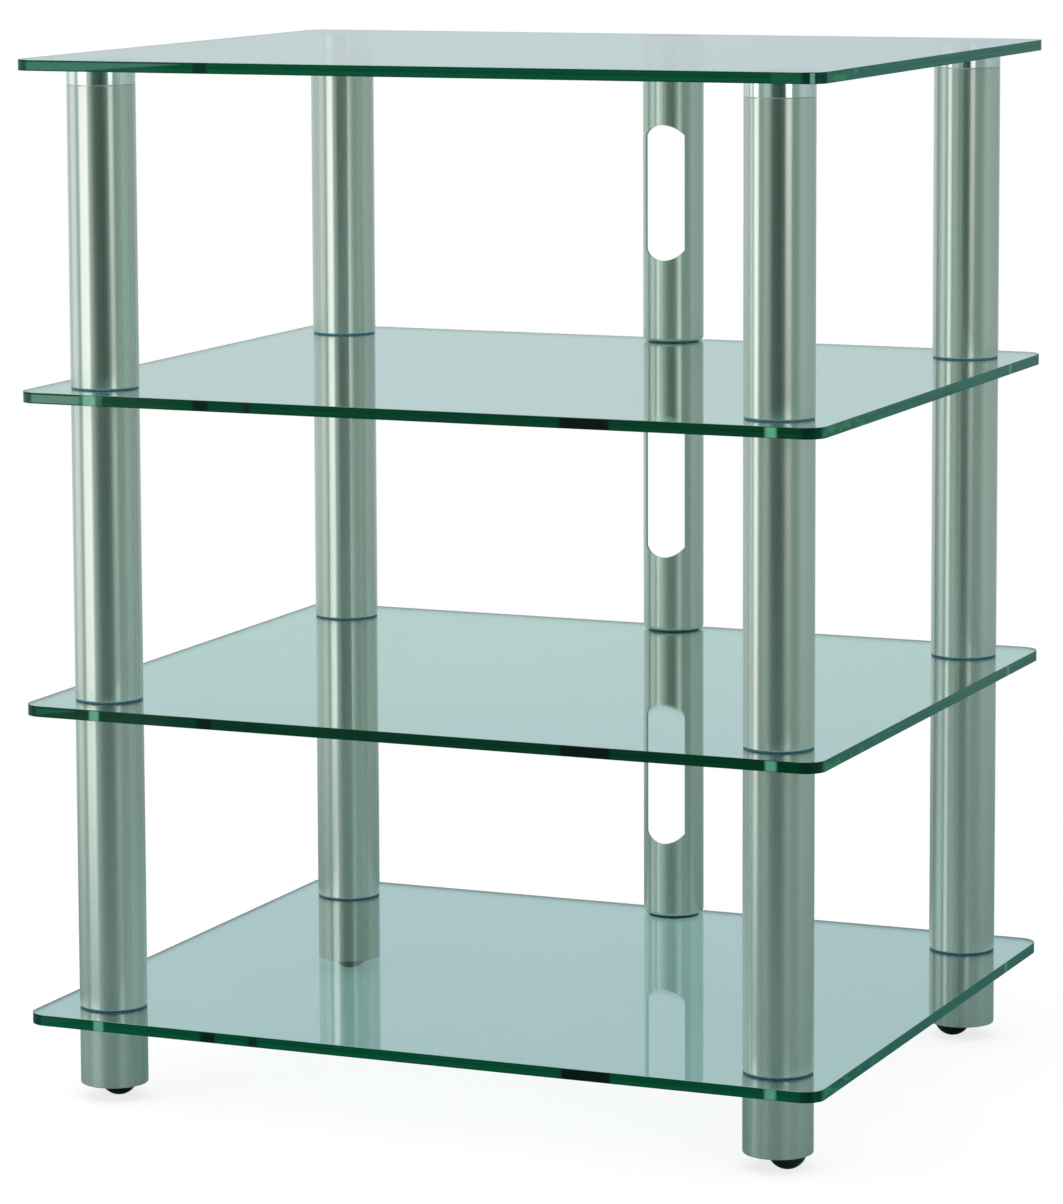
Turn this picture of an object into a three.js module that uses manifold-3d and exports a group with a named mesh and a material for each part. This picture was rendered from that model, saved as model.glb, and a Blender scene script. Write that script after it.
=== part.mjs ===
// Audio equipment rack: four glass shelves on four stainless posts, with a slotted cable column
// behind them. Millimetres, +Z up. The origin is on the floor, under the middle of the whole rack.

import * as THREE from 'three';
import { mergeVertices } from 'three/addons/utils/BufferGeometryUtils.js';
import Module from 'manifold-3d';

const wasm = await Module();
wasm.setup();

// Glass shelves
const shelfWidth = 616;
const shelfDepth = 516;
const glassThickness = 8;
const shelfCornerRadius = 15;
const glassArris = 0.4;
const shelfPitch = 230;
const shelfHoleClearance = 0.3;
const bayClearance = 1.5;

// Posts
const postDiameter = 50;
const postWall = 1.5;
const postInsetSide = 47;
const postInsetEnd = 50;
const footTubeLength = 48.9;
const capHeight = 11.2;
const capSpigotLength = 7;
const capThreadDepth = 9;
const tubeFitClearance = 0.3;

// Clear flanged grommets that keep the tubes off the glass
const grommetFlangeThickness = 0.8;
const grommetFlangeSetback = 0.3;
const grommetCoreRadius = 7;

// Threaded rods, one down each post
const rodRadius = 4;
const threadClearance = 0.3;
const rodPlugEngagement = 12;

// Foot plugs and levelling feet
const plugHeight = 30;
const plugRecess = 0.5;
const footOffset = 7;
const footHeight = 11;
const footStopGap = 0.3;
const footStemRadius = 4;
const footStemEngagement = 15;
const footDomeRadius = 14.2;
const footTipRadius = 4.5;
const footSocketDepth = 4;

// Cable column
const cableTubeDiameter = 47.6;
const cableTubeWall = 1.5;
const cableTubeEndThickness = 3;
const cableTubeEdgeRadius = 3;
const cableInsetBack = 13;
const cableOffsetRight = 8.2;
const windowWidth = 33;
const windowHeight = 106.4;
const windowEndRadius = 20.5;
const windowRise = 1.5;
const rearOpeningHeight = 132;
const rearOpeningSetback = 7.5;
const rearOpeningTurn = 15;
const cableScrewRadius = 3;
const cableFlangeRadius = 20;
const cableFlangeThickness = 0.5;
const cableCoreRadius = 7;
const cableScrewEngagement = 6;
const cableScrewHeadRadius = 4.75;
const cableScrewHeadHeight = 4;

const cutOverrun = 2;

// Counts of flat steps round a full turn
const tubeSteps = 24;
const grommetSteps = 16;
const threadSteps = 8;
const footSteps = 16;
const domeSteps = 4;
const cornerSteps = 5;
const notchSteps = 6;
const windowArcSteps = 8;
const edgeArcSteps = 2;

// Direction of each levelling foot from its post's axis, in degrees from +X
const footAzimuths = { front_left: 90, front_right: 0, back_left: 110, back_right: 180 };

// Places worked out from the sizes above
const postRadius = postDiameter / 2;
const postBore = postRadius - postWall;
const cableTubeRadius = cableTubeDiameter / 2;
const cableTubeBore = cableTubeRadius - cableTubeWall;
const postTubeLength = shelfPitch - glassThickness - 2 * grommetFlangeThickness;
const backOverhang = Math.max(0, cableTubeRadius - cableInsetBack);
const shelfCentreY = -backOverhang / 2;
const shelfBackY = shelfCentreY + shelfDepth / 2;
const cableX = cableOffsetRight;
const cableY = shelfBackY - cableInsetBack;
const postX = shelfWidth / 2 - postInsetSide;
const postYFront = shelfCentreY - shelfDepth / 2 + postInsetEnd;
const postYBack = shelfBackY - postInsetEnd;

const footTubeBase = footHeight;
const bottomShelfBase = footTubeBase + footTubeLength + grommetFlangeThickness;
const lowerShelfBase = bottomShelfBase + shelfPitch;
const upperShelfBase = lowerShelfBase + shelfPitch;
const upperShelfTop = upperShelfBase + glassThickness;
const capBase = upperShelfTop + grommetFlangeThickness + postTubeLength;
const topShelfBase = capBase + capHeight;
const plugBase = footTubeBase + plugRecess;
const plugTop = plugBase + plugHeight;

const posts = {
  front_left: { x: -postX, y: postYFront },
  front_right: { x: postX, y: postYFront },
  back_left: { x: -postX, y: postYBack },
  back_right: { x: postX, y: postYBack },
};
const drilledShelves = { upper: upperShelfBase, lower: lowerShelfBase, bottom: bottomShelfBase };

// Finishes
const brushedSteel = { color: 0xa9b0a8, roughness: 0.3, metalness: 1 };
const polishedAluminium = { color: 0xd3dadc, roughness: 0.1, metalness: 1 };
const zincSteel = { color: 0xb4b6b8, roughness: 0.4, metalness: 1 };
const greenGlass = { color: 0xb4d0cb, roughness: 0.03, metalness: 0, transparent: true, opacity: 0.45 };
const clearVinyl = { color: 0x4f7480, roughness: 0.35, metalness: 0, transparent: true, opacity: 0.7 };
const darkVinyl = { color: 0x22393c, roughness: 0.5, metalness: 0 };
const blackRubber = { color: 0x17181a, roughness: 0.45, metalness: 0 };
const greyNylon = { color: 0x3b3d40, roughness: 0.5, metalness: 0 };

const rack = new THREE.Group();

function add(name, geometry, finish, x, y, z) {
  const mesh = new THREE.Mesh(geometry, new THREE.MeshStandardMaterial(finish));
  mesh.name = name;
  mesh.position.set(x, y, z);
  rack.add(mesh);
}

// Points along an arc, first and last included, with the angles in radians
function arcPoints(x, y, radius, from, to, steps) {
  const points = [];
  for (let i = 0; i <= steps; i += 1) {
    const angle = from + ((to - from) * i) / steps;
    points.push(new THREE.Vector2(x + radius * Math.cos(angle), y + radius * Math.sin(angle)));
  }
  return points;
}

function circlePoints(x, y, radius, steps) {
  return arcPoints(x, y, radius, 0, 2 * Math.PI, steps).slice(0, -1);
}

// A flat piece of a given outline, lying on z = 0, with an arris round every edge
function plate(outline, holes, thickness, arris) {
  const shape = new THREE.Shape(outline);
  shape.holes = holes.map((hole) => new THREE.Path(hole));
  const geometry = new THREE.ExtrudeGeometry(shape, {
    depth: thickness - 2 * arris,
    steps: 1,
    bevelEnabled: arris > 0,
    bevelThickness: arris,
    bevelSize: arris,
    bevelOffset: -arris,
    bevelSegments: 1,
  });
  geometry.translate(0, 0, arris);
  return geometry;
}

// A turned piece about the Z axis. The profile is [radius, height] pairs, anticlockwise, closed
// either by the axis or by its first point
function turned(profile, steps) {
  const points = profile.map(([radius, height]) => new THREE.Vector2(radius, height));
  const geometry = new THREE.LatheGeometry(points, steps);
  geometry.rotateX(Math.PI / 2);
  return geometry;
}

function ring(outer, inner, from, to, steps) {
  return turned([[inner, from], [outer, from], [outer, to], [inner, to], [inner, from]], steps);
}

function rod(radius, length) {
  return turned([[0, 0], [radius, 0], [radius, length], [0, length]], threadSteps);
}

function toSolid(geometry) {
  const bare = geometry.clone();
  bare.deleteAttribute('normal');
  bare.deleteAttribute('uv');
  const merged = mergeVertices(bare);
  const vertProperties = new Float32Array(merged.attributes.position.array);
  const triVerts = new Uint32Array(merged.index.array);
  return new wasm.Manifold(new wasm.Mesh({ numProp: 3, vertProperties, triVerts }));
}

function fromSolid(solid) {
  const mesh = solid.getMesh();
  const geometry = new THREE.BufferGeometry();
  geometry.setAttribute('position', new THREE.BufferAttribute(new Float32Array(mesh.vertProperties), 3));
  geometry.setIndex(new THREE.BufferAttribute(new Uint32Array(mesh.triVerts), 1));
  geometry.computeVertexNormals();
  return geometry;
}

// Shelf outline, anticlockwise from the front edge. A drilled shelf also has a slot at the back,
// open to the edge, for the neck of the cable column's joint
function shelfOutline(hasSlot) {
  const halfWidth = shelfWidth / 2;
  const front = shelfCentreY - shelfDepth / 2;
  const r = shelfCornerRadius;
  const quarter = Math.PI / 2;
  const corner = (x, y, start) => arcPoints(x, y, r, start, start + quarter, cornerSteps);
  const points = [
    ...corner(-halfWidth + r, front + r, 2 * quarter),
    ...corner(halfWidth - r, front + r, 3 * quarter),
    ...corner(halfWidth - r, shelfBackY - r, 0),
  ];
  if (hasSlot) {
    const slotRadius = cableCoreRadius + shelfHoleClearance;
    points.push(new THREE.Vector2(cableX + slotRadius, shelfBackY));
    points.push(...arcPoints(cableX, cableY, slotRadius, 0, -2 * quarter, notchSteps));
    points.push(new THREE.Vector2(cableX - slotRadius, shelfBackY));
  }
  points.push(...corner(-halfWidth + r, shelfBackY - r, quarter));
  return points;
}

function topShelf() {
  return plate(shelfOutline(false), [], glassThickness, glassArris);
}

// The field between the posts, where a component stands, keeps faces of its own, so that it is a
// clear flat area that no hole's edge reaches into
function drilledShelf() {
  const holeRadius = grommetCoreRadius + shelfHoleClearance;
  const holes = Object.values(posts).map(({ x, y }) => (
    circlePoints(x, y, holeRadius, grommetSteps).reverse()
  ));
  const whole = toSolid(plate(shelfOutline(true), holes, glassThickness, glassArris));

  const fieldHalfWidth = postX - postRadius - bayClearance;
  const fieldFront = shelfCentreY - shelfDepth / 2 + shelfCornerRadius;
  const fieldBack = cableY - cableTubeRadius - bayClearance;
  const through = glassThickness + 2 * cutOverrun;
  const block = new THREE.BoxGeometry(2 * fieldHalfWidth, fieldBack - fieldFront, through);
  block.translate(0, (fieldFront + fieldBack) / 2, glassThickness / 2);
  const fieldBlock = toSolid(block);
  const field = whole.intersect(fieldBlock).asOriginal();
  return fromSolid(whole.subtract(fieldBlock).add(field));
}

// A flanged grommet from the underside of the glass, its bore round the rod
function shelfGrommet() {
  const flangeRadius = postRadius - grommetFlangeSetback;
  const bore = rodRadius + threadClearance;
  const low = -grommetFlangeThickness;
  const high = glassThickness + grommetFlangeThickness;
  return turned([
    [bore, low],
    [flangeRadius, low],
    [flangeRadius, 0],
    [grommetCoreRadius, 0],
    [grommetCoreRadius, glassThickness],
    [flangeRadius, glassThickness],
    [flangeRadius, high],
    [bore, high],
    [bore, low],
  ], grommetSteps);
}

// The turned cap that is bonded under the top shelf. A spigot centres it in the tube below
function topCap() {
  const spigotRadius = postBore - tubeFitClearance;
  const bore = rodRadius + threadClearance;
  const boreTop = capThreadDepth - capSpigotLength;
  return turned([
    [bore, -capSpigotLength],
    [spigotRadius, -capSpigotLength],
    [spigotRadius, 0],
    [postRadius, 0],
    [postRadius, capHeight],
    [0, capHeight],
    [0, boreTop],
    [bore, boreTop],
    [bore, -capSpigotLength],
  ], tubeSteps);
}

// The plug in the foot of a post: a blind thread from above for the rod, on the axis, and one
// from below for the levelling foot, beside the axis
function footPlug(azimuth) {
  const body = turned([
    [0, 0],
    [postBore - tubeFitClearance, 0],
    [postBore - tubeFitClearance, plugHeight],
    [0, plugHeight],
  ], tubeSteps);
  const rodHole = rod(rodRadius + threadClearance, rodPlugEngagement + cutOverrun);
  rodHole.translate(0, 0, plugHeight - rodPlugEngagement);
  const stemHole = rod(footStemRadius + threadClearance, footStemEngagement + cutOverrun);
  stemHole.translate(footOffset * Math.cos(azimuth), footOffset * Math.sin(azimuth), -cutOverrun);
  return fromSolid(toSolid(body).subtract(toSolid(rodHole)).subtract(toSolid(stemHole)));
}

// The moulded foot: a dome with a small flat that stands on the floor, and a socket for its stem
function footPad() {
  const domeCentre = Math.sqrt(footDomeRadius ** 2 - footTipRadius ** 2);
  const top = footHeight - footStopGap;
  const socketRadius = footStemRadius + threadClearance;
  const startAngle = -Math.asin(domeCentre / footDomeRadius);
  const endAngle = Math.asin(Math.max(-1, Math.min(1, (top - domeCentre) / footDomeRadius)));
  const profile = [[0, 0]];
  for (const point of arcPoints(0, domeCentre, footDomeRadius, startAngle, endAngle, domeSteps)) {
    profile.push([point.x, point.y]);
  }
  profile.push([socketRadius, top]);
  profile.push([socketRadius, top - footSocketDepth]);
  profile.push([0, top - footSocketDepth]);
  return turned(profile, footSteps);
}

// One length of the cable column: a tube closed at both ends, with a window in front and the
// wall cut away behind it, so that leads pass through. The cut at the back is turned towards the
// left, in degrees, so that the wall on the right stays whole
function cableTube(length) {
  const bore = cableScrewRadius + threadClearance;
  const edge = cableTubeEdgeRadius;
  const quarter = Math.PI / 2;
  const outerRadius = cableTubeRadius - edge;
  const lowEdge = arcPoints(outerRadius, edge, edge, -quarter, 0, edgeArcSteps);
  const highEdge = arcPoints(outerRadius, length - edge, edge, 0, quarter, edgeArcSteps);
  const shell = turned([
    [bore, 0],
    ...[...lowEdge, ...highEdge].map((point) => [point.x, point.y]),
    [bore, length],
    [bore, length - cableTubeEndThickness],
    [cableTubeBore, length - cableTubeEndThickness],
    [cableTubeBore, cableTubeEndThickness],
    [bore, cableTubeEndThickness],
    [bore, 0],
  ], tubeSteps);

  const reach = cableTubeRadius + cutOverrun;
  const halfChordAngle = Math.asin(windowWidth / 2 / windowEndRadius);
  const arcCentre = windowHeight / 2 - windowEndRadius;
  const upper = arcPoints(0, arcCentre, windowEndRadius,
    quarter - halfChordAngle, quarter + halfChordAngle, windowArcSteps);
  const lower = arcPoints(0, -arcCentre, windowEndRadius,
    3 * quarter - halfChordAngle, 3 * quarter + halfChordAngle, windowArcSteps);
  const window = plate([...upper, ...lower], [], reach, 0);
  window.rotateX(quarter);
  window.translate(0, 0, length / 2 + windowRise);

  const rear = new THREE.BoxGeometry(2 * reach, reach - rearOpeningSetback, rearOpeningHeight);
  rear.translate(0, (reach + rearOpeningSetback) / 2, length / 2);
  rear.rotateZ(THREE.MathUtils.degToRad(rearOpeningTurn));
  return fromSolid(toSolid(shell).subtract(toSolid(window)).subtract(toSolid(rear)));
}

// A spool that joins two lengths of the cable column through a shelf
function cableJoint() {
  const low = -cableFlangeThickness;
  const high = glassThickness + cableFlangeThickness;
  return turned([
    [0, low - cableScrewEngagement],
    [cableScrewRadius, low - cableScrewEngagement],
    [cableScrewRadius, low],
    [cableFlangeRadius, low],
    [cableFlangeRadius, 0],
    [cableCoreRadius, 0],
    [cableCoreRadius, glassThickness],
    [cableFlangeRadius, glassThickness],
    [cableFlangeRadius, high],
    [cableScrewRadius, high],
    [cableScrewRadius, high + cableScrewEngagement],
    [0, high + cableScrewEngagement],
  ], grommetSteps);
}

// The flanged bush in the bottom shelf and the screw that comes up through it into the column
function cableBaseBush() {
  const bore = cableScrewRadius + threadClearance;
  const low = -cableFlangeThickness;
  const high = glassThickness + cableFlangeThickness;
  return turned([
    [bore, low],
    [cableFlangeRadius, low],
    [cableFlangeRadius, 0],
    [cableCoreRadius, 0],
    [cableCoreRadius, glassThickness],
    [cableFlangeRadius, glassThickness],
    [cableFlangeRadius, high],
    [bore, high],
    [bore, low],
  ], grommetSteps);
}

function cableBaseScrew() {
  const headTop = -cableFlangeThickness;
  const tip = glassThickness + cableFlangeThickness + cableScrewEngagement;
  return turned([
    [0, headTop - cableScrewHeadHeight],
    [cableScrewHeadRadius, headTop - cableScrewHeadHeight],
    [cableScrewHeadRadius, headTop],
    [cableScrewRadius, headTop],
    [cableScrewRadius, tip],
    [0, tip],
  ], threadSteps);
}

// The disc that is bonded under the top shelf and holds the top of the cable column
function cableTopPad() {
  return turned([
    [0, -cableFlangeThickness - cableScrewEngagement],
    [cableScrewRadius, -cableFlangeThickness - cableScrewEngagement],
    [cableScrewRadius, -cableFlangeThickness],
    [cableFlangeRadius, -cableFlangeThickness],
    [cableFlangeRadius, 0],
    [0, 0],
  ], grommetSteps);
}

function addShelves() {
  add('glass_shelf_top', topShelf(), greenGlass, 0, 0, topShelfBase);
  for (const [level, base] of Object.entries(drilledShelves)) {
    add(`glass_shelf_${level}`, drilledShelf(), greenGlass, 0, 0, base);
  }
}

function addPost(side, { x, y }) {
  const azimuth = THREE.MathUtils.degToRad(footAzimuths[side]);
  const footX = x + footOffset * Math.cos(azimuth);
  const footY = y + footOffset * Math.sin(azimuth);

  add(`top_cap_${side}`, topCap(), polishedAluminium, x, y, capBase);
  for (const [level, base] of Object.entries(drilledShelves)) {
    add(`shelf_grommet_${side}_${level}`, shelfGrommet(), clearVinyl, x, y, base);
    const tubeBase = base + glassThickness + grommetFlangeThickness;
    const tube = ring(postRadius, postBore, 0, postTubeLength, tubeSteps);
    add(`post_tube_${side}_${level}`, tube, brushedSteel, x, y, tubeBase);
  }
  const footTube = ring(postRadius, postBore, 0, footTubeLength, tubeSteps);
  add(`foot_tube_${side}`, footTube, brushedSteel, x, y, footTubeBase);

  const rodBase = plugTop - rodPlugEngagement + threadClearance;
  const rodTop = capBase + capThreadDepth - capSpigotLength - threadClearance;
  add(`tie_rod_${side}`, rod(rodRadius, rodTop - rodBase), zincSteel, x, y, rodBase);

  add(`foot_plug_${side}`, footPlug(azimuth), greyNylon, x, y, plugBase);
  const stemBase = footHeight - footStopGap - footSocketDepth + threadClearance;
  const stemTop = plugBase + footStemEngagement - threadClearance;
  add(`foot_stem_${side}`, rod(footStemRadius, stemTop - stemBase), zincSteel, footX, footY, stemBase);
  add(`foot_pad_${side}`, footPad(), blackRubber, footX, footY, 0);
}

function addCableColumn() {
  const tubeGap = cableFlangeThickness;
  const lengthBetween = (low, high) => high - low - 2 * tubeGap;
  const levels = {
    upper: [upperShelfTop, topShelfBase],
    middle: [lowerShelfBase + glassThickness, upperShelfBase],
    lower: [bottomShelfBase + glassThickness, lowerShelfBase],
  };
  for (const [level, [low, high]] of Object.entries(levels)) {
    const tube = cableTube(lengthBetween(low, high));
    add(`cable_tube_${level}`, tube, brushedSteel, cableX, cableY, low + tubeGap);
  }
  add('cable_joint_upper', cableJoint(), darkVinyl, cableX, cableY, upperShelfBase);
  add('cable_joint_lower', cableJoint(), darkVinyl, cableX, cableY, lowerShelfBase);
  add('cable_base_bush', cableBaseBush(), darkVinyl, cableX, cableY, bottomShelfBase);
  add('cable_base_screw', cableBaseScrew(), zincSteel, cableX, cableY, bottomShelfBase);
  add('cable_top_pad', cableTopPad(), darkVinyl, cableX, cableY, topShelfBase);
}

addShelves();
for (const [side, place] of Object.entries(posts)) {
  addPost(side, place);
}
addCableColumn();

export default rack;
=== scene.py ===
"""The looks of an audio equipment rack: clear green glass shelves on brushed steel posts.

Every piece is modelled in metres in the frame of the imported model, and takes its place from it.
"""

import math

import bmesh
import bpy
from mathutils import Matrix, Vector


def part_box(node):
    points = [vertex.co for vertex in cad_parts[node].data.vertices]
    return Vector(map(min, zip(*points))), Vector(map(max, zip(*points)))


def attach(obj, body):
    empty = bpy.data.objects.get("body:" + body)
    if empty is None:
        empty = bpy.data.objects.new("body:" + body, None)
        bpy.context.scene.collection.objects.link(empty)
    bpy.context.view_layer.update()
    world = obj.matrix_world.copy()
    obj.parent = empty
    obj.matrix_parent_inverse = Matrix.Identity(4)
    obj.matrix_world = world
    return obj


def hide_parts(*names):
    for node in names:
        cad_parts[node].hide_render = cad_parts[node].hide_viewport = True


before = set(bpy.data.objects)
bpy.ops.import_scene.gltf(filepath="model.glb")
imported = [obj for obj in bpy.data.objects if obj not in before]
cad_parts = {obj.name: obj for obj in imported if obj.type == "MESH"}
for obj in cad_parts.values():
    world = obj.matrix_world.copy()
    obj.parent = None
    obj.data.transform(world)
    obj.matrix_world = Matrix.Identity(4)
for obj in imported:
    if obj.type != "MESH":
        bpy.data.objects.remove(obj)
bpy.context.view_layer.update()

MM = 0.001
UP = Vector((0, 0, 1))
CORNERS = ("front_left", "front_right", "back_left", "back_right")
LEVELS = ("upper", "lower", "bottom")
RACK = "rack"

# Sizes of the pieces that their nodes' boxes don't give, in metres
SHELF_CORNER_RADIUS = 15 * MM
SHELF_ARRIS = 0.5 * MM
SHELF_HOLE_RADIUS = 7.3 * MM
TUBE_WALL = 1.5 * MM
TUBE_END_RADIUS = 0.7 * MM
FINE_ARRIS = 0.25 * MM
CAP_SPIGOT_RADIUS = 23.2 * MM
CAP_THREAD_DEPTH = 9 * MM
CAP_FACE_GAP = 0.02 * MM
CAP_FACE_MAP = "cap_face"
BORE_RADIUS = 4.3 * MM
GROMMET_CORE_RADIUS = 7 * MM
THREAD_PITCH = 1.25 * MM
THREAD_DEPTH = 0.6 * MM
ROD_THREAD_LENGTH = 14 * MM
PLUG_ROD_DEPTH = 12 * MM
PLUG_STEM_DEPTH = 15 * MM
PAD_DOME_RADIUS = 14.2 * MM
PAD_TIP_RADIUS = 4.5 * MM
PAD_SOCKET_DEPTH = 4 * MM
PAD_RIM = 1.2 * MM
CABLE_TUBE_EDGE_RADIUS = 3 * MM
CABLE_SCREW_RADIUS = 3 * MM
CABLE_BORE_RADIUS = 3.3 * MM
CABLE_CORE_RADIUS = 7 * MM
CABLE_FLANGE_THICKNESS = 0.5 * MM
WINDOW_WIDTH = 33 * MM
WINDOW_HEIGHT = 106.4 * MM
WINDOW_END_RADIUS = 20.5 * MM
WINDOW_RISE = 1.5 * MM
REAR_OPENING_HEIGHT = 132 * MM
REAR_OPENING_SETBACK = 7.5 * MM
REAR_OPENING_TURN = 15

# How finely round forms are divided
ROUND_STEPS = 96
SMALL_ROUND_STEPS = 48
THREAD_STEPS = 24
HOLE_STEPS = 32
WINDOW_ARC_STEPS = 12
SHELF_CORNER_STEPS = 14
SLOT_END_STEPS = 10
DOME_STEPS = 14
CABLE_EDGE_STEPS = 8

# Limits for telling faces and points apart
MERGE_DISTANCE = 0.001 * MM
SAME_PLACE = 0.01 * MM
LEVEL_FACE = 0.999
CAP_TOP_FACE = 0.99
SLOT_END_SHARE = 0.999
BEND_CLEARANCE = 1.2

# The edge of the glass, from the underside up. Where the fittings show in it is worked out for
# the photograph's view, by how far the glass bends it to one side. It doesn't follow the camera
GLASS_IOR = 1.52
EDGE_MAP = "edge_height"
FRONT_BEND = 0.255
SIDE_BEND = 0.765
EDGE_BLUR = 1.2 * MM
# A deeper green, laid on in random streaks and as painted shade on the edges of the two middle shelves
EDGE_DEEP = (0.001, 0.040, 0.016)
# Painted shade round the rounded corners of the edges, and the painted dark line at the right front
# corner of the middle shelves
CORNER_SHADE = (0.003, 0.040, 0.028)
# The back edge is painted lighter, as it shows through the pane
BACK_EDGE_LIGHT = (0.140, 0.360, 0.290)
# The edge's green is the glass's own; its lighter and darker bands through the thickness are painted
# light and shade, and the top two stops a painted highlight on the upper arris
EDGE_LAYERS = [
    (0.00, (0.006, 0.090, 0.052)),
    (0.12, (0.002, 0.122, 0.054)),
    (0.34, (0.002, 0.148, 0.060)),
    (0.55, (0.001, 0.092, 0.038)),
    (0.76, (0.002, 0.132, 0.054)),
    (0.90, (0.001, 0.080, 0.040)),
    (0.955, (0.001, 0.080, 0.042)),
    (0.97, (0.420, 0.720, 0.660)),
    (1.00, (0.500, 0.800, 0.740)),
]

# Camera of the photograph: place in metres, angles in degrees, lengths in pixels of the photograph
PHOTO_WIDTH = 1063
PHOTO_HEIGHT = 1204
CAMERA_PLACE = Vector((1.4386, -3.4678, 0.9458))
CAMERA_YAW = 23.649
CAMERA_PITCH = 6.861
CAMERA_ROLL = -0.335
FOCAL_PIXELS = 5053.1
OPTICAL_CENTRE = (450.0, 417.2)
SENSOR_WIDTH = 36.0

# The studio. A bearing is in degrees to the right of the camera, seen from the rack
CAMERA_BEARING = 22.5
FLOOR_REACH = 30.0
PAPER_REACH = (0.9, 2.0)
PAPER_IN_METAL = (0.28, 0.44, 0.42)
PAPER_THROUGH_GLASS = (0.42, 0.67, 0.665)
BACKDROP_THROUGH_GLASS = (0.35, 0.595, 0.52)
PLAIN_LIGHT = (0.55, 0.55, 0.55)
WHITE = (1.0, 1.0, 1.0)
BLACK = (0.0, 0.0, 0.0)
FLOOR_PAPER = (0.32, 0.32, 0.32)
FLOOR_LIFT = (0.77, 0.77, 0.77)
PAPER_SHARE_IN_GLASS = 0.3
LIFT_SHARE_IN_GLASS = 0.52
LAMP_COLOUR = (1.0, 0.955, 0.975)
STUDIO_BANDS = [
    (-180, (0.63, 0.71, 0.735)),
    (-132, (0.56, 0.67, 0.66)),
    (-100, (0.55, 0.66, 0.64)),
    (-80, (0.36, 0.48, 0.44)),
    (-62, (0.22, 0.33, 0.30)),
    (-46, (0.42, 0.53, 0.48)),
    (-36, (0.38, 0.48, 0.44)),
    (-24, (0.07, 0.115, 0.095)),
    (3, (0.025, 0.060, 0.047)),
    (18, (0.08, 0.14, 0.115)),
    (28, (0.24, 0.34, 0.30)),
    (54, (0.24, 0.34, 0.30)),
    (70, (0.42, 0.55, 0.52)),
    (100, (0.38, 0.49, 0.47)),
    (137, (0.33, 0.43, 0.42)),
    (180, (0.63, 0.71, 0.735)),
]


def tidy(bm):
    """Merges doubles and turns every face outwards."""
    bmesh.ops.remove_doubles(bm, verts=bm.verts, dist=MERGE_DISTANCE)
    bmesh.ops.recalc_face_normals(bm, faces=bm.faces)


def sharp_rims(bm, least_angle=40):
    """The edges where two faces meet at more than least_angle degrees."""
    limit = math.radians(least_angle)
    return [e for e in bm.edges if len(e.link_faces) == 2 and e.calc_face_angle() > limit]


def round_over(bm, edges, radius, segments=3):
    """Rounds these edges, and keeps the shading of the faces beside them true."""
    made = bmesh.ops.bevel(
        bm,
        geom=list(edges),
        offset=radius,
        offset_type="OFFSET",
        affect="EDGES",
        segments=segments,
        profile=0.5,
        material=-1,
        clamp_overlap=True,
    )
    rounded = set(made["faces"])
    for edge in bm.edges:
        if sum(face in rounded for face in edge.link_faces) == 1:
            edge.smooth = False


def crease(bm, least_angle=35):
    """Marks the edges that stay crisp under smooth shading."""
    for edge in sharp_rims(bm, least_angle):
        edge.smooth = False


def turn_profile(points, axis_x, axis_y, steps=ROUND_STEPS):
    """A closed turned solid about a vertical axis, from (radius, height) points."""
    bm = bmesh.new()
    verts = [bm.verts.new((axis_x + radius, axis_y, height)) for radius, height in points]
    closes_on_axis = points[0][0] == 0 and points[-1][0] == 0
    pairs = list(zip(verts, verts[1:]))
    if not closes_on_axis:
        pairs.append((verts[-1], verts[0]))
    edges = [bm.edges.new(pair) for pair in pairs]
    bmesh.ops.spin(
        bm,
        geom=verts + edges,
        cent=(axis_x, axis_y, 0),
        axis=UP,
        angle=math.tau,
        steps=steps,
        use_merge=True,
        use_duplicate=False,
    )
    tidy(bm)
    return bm


def make_piece(name, bm, materials, body, slot, *nodes):
    """Turns a bmesh into a piece that rides on a body and stands for its nodes."""
    for face in bm.faces:
        face.smooth = True
    mesh = bpy.data.meshes.new(name)
    bm.to_mesh(mesh)
    bm.free()
    for material in materials:
        mesh.materials.append(material)
    piece = bpy.data.objects.new(name, mesh)
    bpy.context.scene.collection.objects.link(piece)
    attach(piece, body)
    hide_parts(*nodes)
    return piece


def node_middle(node):
    """Centre of a node's box, its lowest height and its highest."""
    low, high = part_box(node)
    middle = (low + high) / 2
    return middle.x, middle.y, low.z, high.z


def node_radius(node):
    """Half the width of a round node's box."""
    low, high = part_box(node)
    return (high.x - low.x) / 2


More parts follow.
